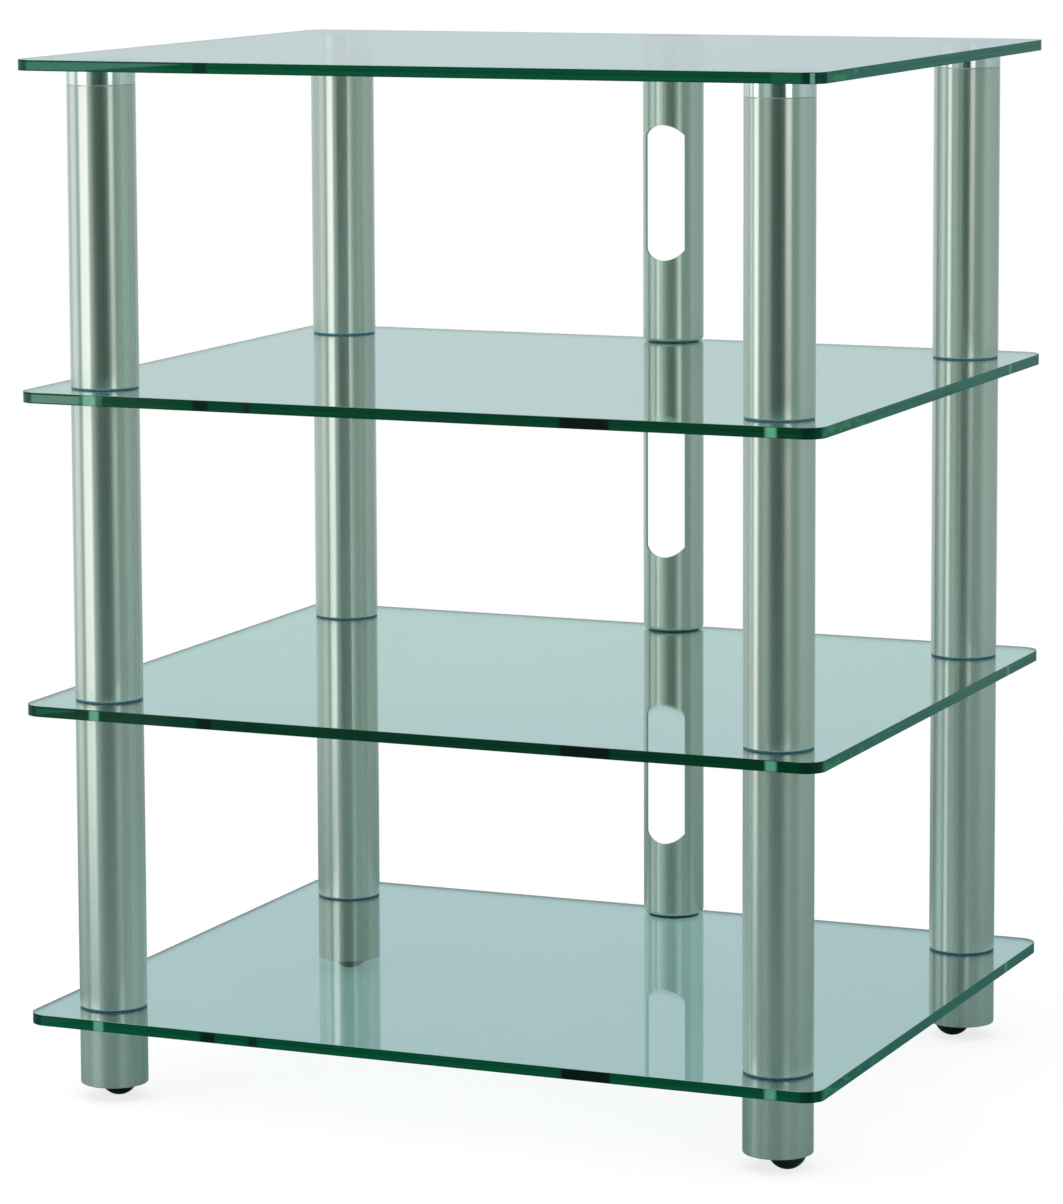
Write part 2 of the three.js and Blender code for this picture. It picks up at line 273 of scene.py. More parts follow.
class Finish:
    """A procedural material, with short ways to add and join its nodes."""

    def __init__(self, name):
        self.material = bpy.data.materials.new(name)
        self.material.use_nodes = True
        self.nodes = self.material.node_tree.nodes
        self.links = self.material.node_tree.links
        self.shader = self.nodes["Principled BSDF"]
        self.place = self.add("ShaderNodeTexCoord").outputs["Object"]

    def add(self, kind, **settings):
        """A new node with these settings."""
        node = self.nodes.new(kind)
        for key, value in settings.items():
            setattr(node, key, value)
        return node

    def join(self, output, target):
        """Links a node's output to a socket."""
        self.links.new(output, target)

    def plain(self, **values):
        """Sets the shader's own sockets, unlinked."""
        for key, value in values.items():
            self.shader.inputs[key.replace("_", " ").title().replace("Ior", "IOR")].default_value = value

    def grain(self, scale, stretch=(1, 1, 1), detail=2.0, roughness=0.5):
        """A noise that is stretched along the axes where stretch is small."""
        mapping = self.add("ShaderNodeMapping")
        mapping.inputs["Scale"].default_value = stretch
        self.join(self.place, mapping.inputs["Vector"])
        noise = self.add("ShaderNodeTexNoise")
        noise.inputs["Scale"].default_value = scale
        noise.inputs["Detail"].default_value = detail
        noise.inputs["Roughness"].default_value = roughness
        self.join(mapping.outputs["Vector"], noise.inputs["Vector"])
        return noise.outputs["Fac"]

    def spread(self, source, low, high, source_low=0.3, source_high=0.7):
        """Maps a 0 to 1 pattern to a range of values."""
        node = self.add("ShaderNodeMapRange")
        node.inputs["From Min"].default_value = source_low
        node.inputs["From Max"].default_value = source_high
        node.inputs["To Min"].default_value = low
        node.inputs["To Max"].default_value = high
        self.join(source, node.inputs["Value"])
        return node.outputs["Result"]

    def math(self, operation, first, second):
        """A sum or product of two numbers or outputs."""
        node = self.add("ShaderNodeMath", operation=operation)
        for socket, value in zip(node.inputs, (first, second)):
            if isinstance(value, (int, float)):
                socket.default_value = value
            else:
                self.join(value, socket)
        return node.outputs["Value"]

    def shade(self, factor, first, second):
        """A mix of two colours, or of a colour and a colour output."""
        node = self.add("ShaderNodeMix", data_type="RGBA")
        self.join(factor, node.inputs["Factor"])
        for socket, value in ((node.inputs[6], first), (node.inputs[7], second)):
            if isinstance(value, tuple):
                socket.default_value = (*value, 1)
            else:
                self.join(value, socket)
        return node.outputs[2]

    def between(self, value, low, high, blur):
        """1 where the value lies between low and high, and 0 outside, with soft limits."""
        rise = self.spread(value, 0.0, 1.0, low - blur, low + blur)
        fall = self.spread(value, 1.0, 0.0, high - blur, high + blur)
        return self.math("MULTIPLY", rise, fall)

    def part(self, vector, axis):
        """One axis of a vector."""
        node = self.add("ShaderNodeSeparateXYZ")
        self.join(vector, node.inputs["Vector"])
        return node.outputs[axis]

    def bump(self, height, distance, strength=1.0):
        """Fine relief from a pattern, at most distance deep."""
        node = self.add("ShaderNodeBump")
        node.inputs["Strength"].default_value = strength
        node.inputs["Distance"].default_value = distance
        self.join(height, node.inputs["Height"])
        self.join(node.outputs["Normal"], self.shader.inputs["Normal"])


def brushed_steel(name, dark, light, roughness, anisotropic):
    """Stainless tube with long faint streaks up it and fine rings round it."""
    finish = Finish(name)
    rings = finish.grain(18, (1, 1, 250), detail=1.0)
    streaks = finish.grain(320, (1, 1, 0.002), detail=2.0)
    finish.plain(metallic=1.0, anisotropic=anisotropic)
    pattern = finish.math(
        "ADD", finish.math("MULTIPLY", rings, 0.2), finish.math("MULTIPLY", streaks, 0.8),
    )
    tone = finish.spread(pattern, 0.0, 1.0, 0.35, 0.65)
    finish.join(finish.shade(tone, dark, light), finish.shader.inputs["Base Color"])
    finish.join(
        finish.spread(streaks, roughness - 0.015, roughness + 0.015, 0.35, 0.65),
        finish.shader.inputs["Roughness"],
    )
    # Reflections blur up the tube. The direction leans a little, so that it is never square to a face
    direction = finish.add("ShaderNodeCombineXYZ")
    direction.inputs["X"].default_value = 0.02
    direction.inputs["Y"].default_value = 0.01
    direction.inputs["Z"].default_value = 1.0
    finish.join(direction.outputs["Vector"], finish.shader.inputs["Tangent"])
    return finish.material


def polished_aluminium():
    """Turned and polished cap, with a trace of the tool marks round it."""
    finish = Finish("polished_aluminium")
    marks = finish.grain(40, (1, 1, 120), detail=2.0)
    finish.plain(metallic=1.0)
    finish.join(
        finish.shade(finish.spread(marks, 0.0, 1.0), (0.84, 0.87, 0.89), (0.92, 0.94, 0.96)),
        finish.shader.inputs["Base Color"],
    )
    finish.join(finish.spread(marks, 0.09, 0.14), finish.shader.inputs["Roughness"])
    finish.bump(marks, 0.002 * MM, 0.4)
    return finish.material


def turned_aluminium():
    """The face of a cap, rougher than its side and with fine rings from the lathe. Its colour is darker
    than the side's: painted shade that tones down the reflection of the lamp above.

    The UV map holds the place on the face in metres from the cap's axis.
    """
    finish = Finish("turned_aluminium")
    finish.plain(metallic=1.0)
    place = finish.add("ShaderNodeUVMap", uv_map=CAP_FACE_MAP).outputs["UV"]
    from_axis = finish.add("ShaderNodeVectorMath", operation="LENGTH")
    finish.join(place, from_axis.inputs[0])
    rings = finish.add("ShaderNodeTexNoise", noise_dimensions="1D")
    rings.inputs["Scale"].default_value = 1400
    finish.join(from_axis.outputs["Value"], rings.inputs["W"])
    finish.join(
        finish.shade(
            finish.spread(rings.outputs["Fac"], 0.0, 1.0), (0.46, 0.48, 0.49), (0.62, 0.64, 0.65),
        ),
        finish.shader.inputs["Base Color"],
    )
    finish.join(finish.spread(rings.outputs["Fac"], 0.26, 0.36), finish.shader.inputs["Roughness"])
    return finish.material


def clear_glass():
    """Float glass seen through its faces: clear, with a little green."""
    finish = Finish("green_glass_face")
    finish.plain(ior=GLASS_IOR, transmission_weight=1.0)
    ripple = finish.grain(3, detail=1.0)
    finish.join(
        finish.shade(finish.spread(ripple, 0.0, 1.0), (0.80, 0.92, 0.90), (0.82, 0.93, 0.91)),
        finish.shader.inputs["Base Color"],
    )
    smears = finish.grain(14, (1, 1, 1), detail=3.0)
    finish.join(finish.spread(smears, 0.0, 0.02, 0.45, 0.75), finish.shader.inputs["Roughness"])
    return finish.material


class GlassEdge(Finish):
    """The polished edge of a pane, deep green, with painted light and shade and the places that they
    follow.

    The UV map holds the height as a share of the thickness.
    """

    def __init__(self, name):
        super().__init__(name)
        self.plain(ior=GLASS_IOR, specular_ior_level=0.08)
        self.low, self.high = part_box("glass_shelf_bottom")
        edge_map = self.add("ShaderNodeUVMap", uv_map=EDGE_MAP)
        self.height = self.part(edge_map.outputs["UV"], "Y")
        self.x = self.part(self.place, "X")
        self.y = self.part(self.place, "Y")
        self.z = self.part(self.place, "Z")
        normal = self.add("ShaderNodeNewGeometry").outputs["Normal"]
        self.facing = self.math("ABSOLUTE", self.part(normal, "X"), 0)
        self.on_side = self.spread(self.facing, 0.0, 1.0, 0.75, 0.95)
        self.streaks = self.grain(7, (1, 1, 60), detail=3.0, roughness=0.6)
        self.inner = self.between(self.height, 0.04, 0.92, 0.03)

    def layers(self):
        """Green bands of painted light and shade through the thickness, deeper in random streaks, and
        with painted shade at the two middle shelves.
        """
        layers = self.add("ShaderNodeValToRGB")
        self.join(self.height, layers.inputs["Fac"])
        stops = layers.color_ramp.elements
        stops[0].color = (*EDGE_LAYERS[0][1], 1)
        stops[1].color = (*EDGE_LAYERS[-1][1], 1)
        for share, colour in EDGE_LAYERS[1:-1]:
            stops.new(share).color = (*colour, 1)
        # Painted shade: the edges of the upper and lower shelves are darker
        dimness = self.math(
            "MULTIPLY",
            self.between(self.z, 0.2, 0.6, 0.05),
            self.spread(self.z, 0.65, 0.40, 0.29, 0.53),
        )
        depth = self.math("ADD", self.spread(self.streaks, 0.0, 0.25), dimness)
        return self.shade(depth, layers.outputs["Color"], EDGE_DEEP)

    def front(self, reflection_reach, reflection_colour, line_colour):
        """The front edge: a painted reflection of a lamp at its left end, painted shade round its
        corners, and a painted line at the right corner.
        """
        # A painted reflection of a lamp at the left end, narrowing upwards
        reflection_low = self.spread(self.x, 0.10, 0.78, *reflection_reach)
        in_reflection = self.math(
            "MULTIPLY",
            self.spread(self.math("SUBTRACT", self.height, reflection_low), 0.0, 1.0, -0.05, 0.05),
            self.spread(self.height, 1.0, 0.0, 0.77, 0.87),
        )
        reflection_end = self.spread(self.x, 1.0, 0.0, reflection_reach[1] - 3 * MM, reflection_reach[1])
        tone = self.shade(self.math("MULTIPLY", in_reflection, reflection_end), self.layers(), reflection_colour)
        # Painted shade round the rounded corners
        corner = self.between(self.facing, 0.15, 0.70, 0.06)
        tone = self.shade(self.math("MULTIPLY", corner, 0.75), tone, CORNER_SHADE)
        # A painted line at the right corner, in the colour given
        on_right = self.math("GREATER_THAN", self.x, 0)
        line = self.math("MULTIPLY", self.between(self.facing, 0.46, 0.64, 0.03), on_right)
        return self.shade(self.math("MULTIPLY", line, self.inner), tone, line_colour)

    def side(self, dark_reach):
        """The side edges: painted lighter than the front, with painted glints near the front, and
        painted shade up to dark_reach.
        """
        tone = self.shade(
            self.spread(self.streaks, 0.0, 1.0), (0.012, 0.148, 0.112), (0.028, 0.228, 0.170),
        )
        # Painted glints near the front
        glints = self.math(
            "MULTIPLY",
            self.spread(self.grain(60, (0, 1, 3), detail=0.0), 0.0, 0.9, 0.56, 0.62),
            self.spread(self.y, 1.0, 0.0, -0.22, -0.10),
        )
        tone = self.shade(self.math("MULTIPLY", glints, self.inner), tone, (0.030, 0.330, 0.120))
        # Painted shade from the front corner up to dark_reach
        near_corner = self.spread(self.y, 1.0, 0.0, dark_reach - EDGE_BLUR, dark_reach + EDGE_BLUR)
        return self.shade(near_corner, tone, (0.006, 0.060, 0.042))

    def mark(self, tone, along, low, high, is_here, colour):
        """Paints the light and shade that a fitting shows through the glass over the edge, from low to
        high along it.
        """
        mask = self.between(along, low, high, EDGE_BLUR)
        mask = self.math("MULTIPLY", mask, self.math("MULTIPLY", is_here, self.inner))
        return self.shade(mask, tone, colour)


def glass_edge(name, dark_reach, reflection_reach, reflection_colour, fittings, side_fittings, line_colour):
    """The edge of a pane, with what the pane's fittings show through it in the photograph's view.

    The front edge carries a painted reflection of a lamp at its left end, which narrows upwards over its
    reach.
    The right edge has painted shade from the front corner up to dark_reach. A fitting is its hole, how
    far it shows to each side, and the colour painted where it shows through the glass.
    """
    edge = GlassEdge(name)
    on_front = edge.math("SUBTRACT", 1.0, edge.on_side)
    on_back = edge.spread(edge.y, 0.0, 1.0, edge.high.y - 1.0 * MM, edge.high.y - 0.6 * MM)
    front = edge.front(reflection_reach, reflection_colour, line_colour)
    tone = edge.shade(edge.on_side, front, edge.side(dark_reach))
    # Paint the light and shade that each fitting shows through the front and side edges
    for (hole_x, hole_y), reach_left, reach_right, colour in fittings:
        shown = hole_x + (hole_y - edge.low.y) * FRONT_BEND
        tone = edge.mark(tone, edge.x, shown - reach_left, shown + reach_right, on_front, colour)
    for (hole_x, hole_y), reach_front, reach_back, colour in side_fittings:
        shown = hole_y - (edge.high.x - hole_x) * SIDE_BEND
        tone = edge.mark(tone, edge.y, shown - reach_front, shown + reach_back, edge.on_side, colour)
    # The back edge painted lighter, as it shows through the pane
    tone = edge.shade(on_back, tone, BACK_EDGE_LIGHT)
    edge.join(tone, edge.shader.inputs["Base Color"])
    edge.join(edge.spread(edge.streaks, 0.05, 0.12), edge.shader.inputs["Roughness"])
    return edge.material


def moulded(name, dark, light, roughness, grain_scale, depth, **extra):
    """A moulded plastic or rubber with a fine surface texture."""
    finish = Finish(name)
    texture = finish.grain(grain_scale, detail=3.0)
    finish.plain(**extra)
    finish.join(
        finish.shade(finish.spread(texture, 0.0, 1.0), dark, light),
        finish.shader.inputs["Base Color"],
    )
    finish.join(
        finish.spread(texture, roughness * 0.85, roughness * 1.15),
        finish.shader.inputs["Roughness"],
    )
    finish.bump(texture, depth, 0.5)
    return finish.material


def zinc_plate():
    """Zinc-plated steel, slightly clouded."""
    finish = Finish("zinc_steel")
    cloud = finish.grain(180, detail=3.0)
    finish.plain(metallic=1.0)
    finish.join(
        finish.shade(finish.spread(cloud, 0.0, 1.0), (0.55, 0.56, 0.58), (0.72, 0.73, 0.75)),
        finish.shader.inputs["Base Color"],
    )
    finish.join(finish.spread(cloud, 0.25, 0.42), finish.shader.inputs["Roughness"])
    return finish.material


STEEL = brushed_steel("brushed_steel", (0.690, 0.717, 0.662), (0.725, 0.750, 0.692), 0.28, 0.9)
# The column's steel: a darker, greener copy of the posts', a little rougher
COLUMN_STEEL = brushed_steel("column_steel_darker", (0.612, 0.668, 0.600), (0.652, 0.708, 0.638), 0.30, 0.85)
ALUMINIUM = polished_aluminium()
TURNED_ALUMINIUM = turned_aluminium()
GLASS_FACE = clear_glass()
HOLE_CENTRES = [node_middle(f"tie_rod_{corner}")[:2] for corner in CORNERS]
SLOT_CENTRE = node_middle("cable_joint_upper")[:2]
FRONT_LEFT_HOLE, FRONT_RIGHT_HOLE, BACK_LEFT_HOLE, BACK_RIGHT_HOLE = HOLE_CENTRES
# Painted light and shade on the glass edges where fittings show through the glass: each fitting's hole,
# how far the patch reaches each way, and its painted colour
PAINTED_BACK_FITTINGS = [
    (BACK_LEFT_HOLE, 23 * MM, -11 * MM, (0.004, 0.022, 0.013)),
    (BACK_LEFT_HOLE, -16 * MM, 23 * MM, (0.006, 0.040, 0.022)),
    (SLOT_CENTRE, 19 * MM, 18 * MM, (0.004, 0.013, 0.010)),
]
PAINTED_SIDE_FITTINGS = [
    (FRONT_RIGHT_HOLE, 2 * MM, 1.5 * MM, (0.055, 0.215, 0.185)),
    (BACK_RIGHT_HOLE, 3.5 * MM, 3.5 * MM, (0.140, 0.360, 0.290)),
]
# Each edge: how far the painted shade reaches from the front corner along the right edge, the reach and
# colour of the painted reflection at its left end, the fittings painted where they show, and the colour
# of its painted corner line
TOP_GLASS_EDGE = glass_edge(
    "green_glass_edge_top",
    -0.250,
    (-0.252, -0.172),
    (0.062, 0.235, 0.168),
    [
        (BACK_LEFT_HOLE, 20 * MM, -9 * MM, (0.006, 0.045, 0.025)),
        (FRONT_RIGHT_HOLE, 1 * MM, 20 * MM, (0.012, 0.150, 0.075)),
    ],
    [],
    # A painted highlight for the line at the right corner
    (0.250, 0.550, 0.420),
)
UPPER_GLASS_EDGE = glass_edge(
    "green_glass_edge_upper",
    -0.2545,
    (-0.258, -0.236),
    (0.150, 0.350, 0.250),
    [
        (FRONT_LEFT_HOLE, 8 * MM, 10 * MM, (0.050, 0.200, 0.120)),
        (FRONT_LEFT_HOLE, 5 * MM, 5 * MM, (0.260, 0.600, 0.440)),
        (FRONT_RIGHT_HOLE, 5 * MM, 3 * MM, (0.200, 0.640, 0.400)),
        *PAINTED_BACK_FITTINGS,
    ],
    PAINTED_SIDE_FITTINGS,
    CORNER_SHADE,
)
LOWER_GLASS_EDGE = glass_edge(
    "green_glass_edge_lower",
    -0.2530,
    (-0.300, -0.262),
    (0.010, 0.125, 0.072),
    [
        (FRONT_LEFT_HOLE, 3.5 * MM, 4 * MM, (0.180, 0.540, 0.360)),
        (FRONT_RIGHT_HOLE, 4.5 * MM, 3.5 * MM, (0.170, 0.560, 0.370)),
        *PAINTED_BACK_FITTINGS,
    ],
    PAINTED_SIDE_FITTINGS,
    CORNER_SHADE,
)
ZINC = zinc_plate()
CLEAR_VINYL = moulded("clear_vinyl", (0.045, 0.190, 0.250), (0.070, 0.260, 0.330), 0.22, 300, 0.01 * MM)
DARK_VINYL = moulded("dark_vinyl", (0.085, 0.250, 0.268), (0.110, 0.300, 0.320), 0.35, 300, 0.01 * MM)
RUBBER = moulded("black_rubber", (0.006, 0.010, 0.013), (0.014, 0.022, 0.027), 0.22, 500, 0.01 * MM)
NYLON = moulded("grey_nylon", (0.022, 0.023, 0.025), (0.045, 0.046, 0.050), 0.45, 400, 0.03 * MM)


def add_camera():
    """The camera of the photograph, from its fitted place and angles."""
    yaw = math.radians(CAMERA_YAW)
    pitch = math.radians(CAMERA_PITCH)
    roll = math.radians(CAMERA_ROLL)
    level_right = Vector((math.cos(yaw), math.sin(yaw), 0))
    ahead = Vector((
        -math.sin(yaw) * math.cos(pitch),
        math.cos(yaw) * math.cos(pitch),
        -math.sin(pitch),
    ))
    level_up = level_right.cross(ahead)
    right = level_right * math.cos(roll) + level_up * math.sin(roll)
    up = level_up * math.cos(roll) - level_right * math.sin(roll)
    turn = Matrix((right, up, -ahead)).transposed().to_4x4()

    data = bpy.data.cameras.new("photo_camera")
    data.sensor_width = SENSOR_WIDTH
    data.lens = FOCAL_PIXELS / PHOTO_HEIGHT * SENSOR_WIDTH
    data.shift_x = (PHOTO_WIDTH / 2 - OPTICAL_CENTRE[0]) / PHOTO_HEIGHT
    data.shift_y = (OPTICAL_CENTRE[1] - PHOTO_HEIGHT / 2) / PHOTO_HEIGHT
    data.clip_end = 100
    camera = bpy.data.objects.new("photo_camera", data)
    camera.matrix_world = Matrix.Translation(CAMERA_PLACE) @ turn
    bpy.context.scene.collection.objects.link(camera)
    bpy.context.scene.camera = camera


def shelf_outline(low, high, slot_centre):
    """The shelf's edge loop: a rectangle with round corners, and a slot at the back if asked."""
    bm = bmesh.new()
    points = [(low.x, low.y), (high.x, low.y), (high.x, high.y)]
    if slot_centre:
        slot_x, slot_y = slot_centre
        points += [
            (slot_x + SHELF_HOLE_RADIUS, high.y),
            (slot_x + SHELF_HOLE_RADIUS, slot_y - SHELF_HOLE_RADIUS),
            (slot_x - SHELF_HOLE_RADIUS, slot_y - SHELF_HOLE_RADIUS),
            (slot_x - SHELF_HOLE_RADIUS, high.y),
        ]
    points.append((low.x, high.y))
    verts = [bm.verts.new((x, y, low.z)) for x, y in points]
    bm.faces.new(verts)
    corners = [verts[0], verts[1], verts[2], verts[-1]]
    bevel_corners(bm, corners, SHELF_CORNER_RADIUS, SHELF_CORNER_STEPS)
    if slot_centre:
        inner = [v for v in bm.verts if abs(v.co.y - (slot_centre[1] - SHELF_HOLE_RADIUS)) < SAME_PLACE]
        bevel_corners(bm, inner, SLOT_END_SHARE * SHELF_HOLE_RADIUS, SLOT_END_STEPS)
    return bm


def bevel_corners(bm, verts, radius, segments):
    """Rounds the corners of a flat outline."""
    bmesh.ops.bevel(
        bm,
        geom=verts,
        offset=radius,
        offset_type="OFFSET",
        affect="VERTICES",
        segments=segments,
        profile=0.5,
        material=-1,
    )


def glass_shelf(level, edge, hole_centres=(), slot_centre=None):
    """A pane with rounded corners and a fine polished arris round its edges and holes."""
    node = f"glass_shelf_{level}"
    low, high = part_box(node)
    bm = shelf_outline(low, high, slot_centre)
    bmesh.ops.delete(bm, geom=bm.faces[:], context="FACES_ONLY")
    for x, y in hole_centres:
        bmesh.ops.create_circle(
            bm,
            cap_ends=False,
            radius=SHELF_HOLE_RADIUS,
            segments=HOLE_STEPS,
            matrix=Matrix.Translation((x, y, low.z)),
        )
    bmesh.ops.triangle_fill(bm, use_beauty=True, use_dissolve=False, edges=bm.edges[:], normal=UP)
    pane = bmesh.ops.extrude_face_region(bm, geom=bm.faces[:])
    lifted = [item for item in pane["geom"] if isinstance(item, bmesh.types.BMVert)]
    bmesh.ops.translate(bm, verts=lifted, vec=(0, 0, high.z - low.z))
    tidy(bm)
    rims = [
        e for e in sharp_rims(bm, 60)
        if abs(e.verts[0].co.z - e.verts[1].co.z) < SAME_PLACE
    ]
    round_over(bm, rims, SHELF_ARRIS, 2)
    heights = bm.loops.layers.uv.new(EDGE_MAP)
    for face in bm.faces:
        face.material_index = 0 if abs(face.normal.z) > LEVEL_FACE else 1
        for loop in face.loops:
            loop[heights].uv = (loop.vert.co.x, (loop.vert.co.z - low.z) / (high.z - low.z))
    pane = make_piece(f"shelf_pane_{level}", bm, (GLASS_FACE, edge), RACK, "green_glass", node)
    # Clear glass lets the lamps' light through, which a ray-traced shadow leaves out
    pane.visible_shadow = False
    return pane


def steel_tube(name, node):
    """A length of round tube with softly rounded ends."""
    x, y, base, top = node_middle(node)
    outer = node_radius(node)
    inner = outer - TUBE_WALL
    bm = turn_profile([(inner, base), (outer, base), (outer, top), (inner, top)], x, y)
    round_over(bm, sharp_rims(bm), TUBE_END_RADIUS, 3)
    return make_piece(name, bm, (STEEL,), RACK, "brushed_steel", node)


def add_shelves():
    """The plain top shelf, and three that are drilled for the posts and slotted for the column."""
    glass_shelf("top", TOP_GLASS_EDGE)
    glass_shelf("upper", UPPER_GLASS_EDGE, HOLE_CENTRES, SLOT_CENTRE)
    glass_shelf("lower", LOWER_GLASS_EDGE, HOLE_CENTRES, SLOT_CENTRE)
    glass_shelf("bottom", LOWER_GLASS_EDGE, HOLE_CENTRES, SLOT_CENTRE)


def add_posts():
    """Three lengths of tube and a foot tube at each corner."""
    for corner in CORNERS:
        for level in LEVELS:
            steel_tube(f"steel_tube_{corner}_{level}", f"post_tube_{corner}_{level}")
        steel_tube(f"steel_foot_tube_{corner}", f"foot_tube_{corner}")


def top_cap(corner):
    """The polished cap between a post's top tube and the top glass, with its spigot and blind bore.

    Its face keeps a hair's breadth off the glass, so that it shows as metal through the pane.
    """
    node = f"top_cap_{corner}"
    x, y, spigot_base, top = node_middle(node)
    top -= CAP_FACE_GAP
    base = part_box(f"post_tube_{corner}_upper")[1].z
    radius = node_radius(node)
    bm = turn_profile([
        (0, spigot_base + CAP_THREAD_DEPTH),
        (BORE_RADIUS, spigot_base + CAP_THREAD_DEPTH),
        (BORE_RADIUS, spigot_base),
        (CAP_SPIGOT_RADIUS, spigot_base),
        (CAP_SPIGOT_RADIUS, base),
        (radius, base),
        (radius, top),
        (0, top),
    ], x, y)
    outer_rims = [
        e for e in sharp_rims(bm)
        if all((v.co.xy - Vector((x, y))).length > radius - 0.1 * MM for v in e.verts)
    ]
    round_over(bm, outer_rims, FINE_ARRIS, 2)
    crease(bm)
    from_axis = bm.loops.layers.uv.new(CAP_FACE_MAP)
    for face in bm.faces:
        is_top = face.normal.z > CAP_TOP_FACE and face.calc_center_median().z > top - FINE_ARRIS / 2
        face.material_index = 1 if is_top else 0
        for loop in face.loops:
            loop[from_axis].uv = (loop.vert.co.x - x, loop.vert.co.y - y)
    materials = (ALUMINIUM, TURNED_ALUMINIUM)
    return make_piece(f"post_cap_{corner}", bm, materials, RACK, "polished_aluminium", node)


def flanged_bush(name, node, shelf_node, core_radius, bore_radius, material, slot):
    """A soft spool round a hole in the glass: a flange above, a flange below and a neck between."""
    x, y, low, high = node_middle(node)
    flange = node_radius(node)
    glass_low, glass_high = (corner.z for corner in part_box(shelf_node))
    bm = turn_profile([
        (bore_radius, low),
        (flange, low),
        (flange, glass_low),
        (core_radius, glass_low),
        (core_radius, glass_high),
        (flange, glass_high),
        (flange, high),
        (bore_radius, high),
    ], x, y)
    crease(bm)
    return make_piece(name, bm, (material,), RACK, slot, node)


def thread_profile(low, high, crest_radius):
    """Zigzag of a thread between two heights, as (radius, height) points."""
    turns = max(1, int((high - low) / THREAD_PITCH))
    pitch = (high - low) / turns
    points = []
    for turn in range(turns):
        points.append((crest_radius - THREAD_DEPTH, low + turn * pitch))
        points.append((crest_radius, low + (turn + 0.5) * pitch))
    points.append((crest_radius - THREAD_DEPTH, high))
    return points


def threaded_rod(name, node, body, thread_length):
    """A rod with a thread at each end, or all along it where the threads meet."""
    x, y, low, high = node_middle(node)
    radius = node_radius(node)
    if 2 * thread_length >= high - low:
        middle = thread_profile(low, high, radius)
    else:
        middle = thread_profile(low, low + thread_length, radius)
        middle += thread_profile(high - thread_length, high, radius)
    bm = turn_profile([(0, low), *middle, (0, high)], x, y, THREAD_STEPS)
    crease(bm, 50)
    return make_piece(name, bm, (ZINC,), body, "zinc_steel", node)


def ring_of_edges(bm, x, y, z, radius, steps):
    """A level circle of loose edges."""
    made = bmesh.ops.create_circle(
        bm,
        cap_ends=False,
        radius=radius,
        segments=steps,
        matrix=Matrix.Translation((x, y, z)),
    )
    verts = made["verts"]
    return [e for e in bm.edges if all(v in verts for v in e.verts)]


def bored_face(bm, x, y, z, radius, bore_x, bore_y, depth):
    """A round face with a blind bore. Gives back the face's outer edges."""
    outer = ring_of_edges(bm, x, y, z, radius, ROUND_STEPS)
    mouth = ring_of_edges(bm, bore_x, bore_y, z, BORE_RADIUS, THREAD_STEPS)
    bmesh.ops.triangle_fill(bm, use_beauty=True, use_dissolve=False, edges=outer + mouth, normal=UP)
    wall = bmesh.ops.extrude_edge_only(bm, edges=mouth)
    moved = [item for item in wall["geom"] if isinstance(item, bmesh.types.BMVert)]
    bmesh.ops.translate(bm, verts=moved, vec=(0, 0, depth))
    end = [item for item in wall["geom"] if isinstance(item, bmesh.types.BMEdge)]
    bottom = [e for e in end if all(v in moved for v in e.verts)]
    bmesh.ops.contextual_create(bm, geom=bottom)
    return outer


def foot_plug(corner):
    """The plug in a foot tube: a bore from above for the rod, and one from below for the foot."""
    node = f"foot_plug_{corner}"
    x, y, low, high = node_middle(node)
    stem_x, stem_y = node_middle(f"foot_stem_{corner}")[:2]
    radius = node_radius(node)
    bm = bmesh.new()
    under = bored_face(bm, x, y, low, radius, stem_x, stem_y, PLUG_STEM_DEPTH)
    over = bored_face(bm, x, y, high, radius, x, y, -PLUG_ROD_DEPTH)
    bmesh.ops.bridge_loops(bm, edges=under + over)
    tidy(bm)
    crease(bm)
    return make_piece(f"plug_{corner}", bm, (NYLON,), RACK, "grey_nylon", node)


def arc_profile(height, radius, start, end, steps):
    """Points of an arc about a point on the axis, with the angles measured from the level."""
    angles = [start + (end - start) * step / steps for step in range(steps + 1)]
    return [(radius * math.cos(a), height + radius * math.sin(a)) for a in angles]


def foot_pad(corner):
    """The moulded foot: a dome on a small flat, with a short upright rim and a socket for its stem."""
    node = f"foot_pad_{corner}"
    x, y, low, high = node_middle(node)
    centre = low + math.sqrt(PAD_DOME_RADIUS ** 2 - PAD_TIP_RADIUS ** 2)
    start = -math.asin((centre - low) / PAD_DOME_RADIUS)
    end = math.asin((high - PAD_RIM - centre) / PAD_DOME_RADIUS)
    dome = arc_profile(centre, PAD_DOME_RADIUS, start, end, DOME_STEPS)
    bm = turn_profile([
        (0, low),
        *dome,
        (dome[-1][0], high),
        (BORE_RADIUS, high),
        (BORE_RADIUS, high - PAD_SOCKET_DEPTH),
        (0, high - PAD_SOCKET_DEPTH),
    ], x, y, SMALL_ROUND_STEPS)
    round_over(bm, sharp_rims(bm, 60), FINE_ARRIS, 2)
    return make_piece(f"pad_{corner}_dome", bm, (RUBBER,), f"pad_{corner}", "black_rubber", node)


def cut_window(bm, y, planes, is_front):
    """Opens the wall in front of the axis, or behind it, inside a shape that is bounded by planes."""
    side = -1 if is_front else 1
    for place, direction in planes:
        near = [f for f in bm.faces if side * (f.calc_center_median().y - y) > -TUBE_WALL]
        geometry = set(near)
        for face in near:
            geometry.update(face.edges)
            geometry.update(face.verts)
        bmesh.ops.bisect_plane(
            bm, geom=list(geometry), dist=MERGE_DISTANCE, plane_co=place, plane_no=direction,
        )

    def is_inside(face):
        centre = face.calc_center_median()
        if side * (centre.y - y) < 0:
            return False
        return all((centre - place).dot(direction) < 0 for place, direction in planes)

    bmesh.ops.delete(bm, geom=[f for f in bm.faces if is_inside(f)], context="FACES")


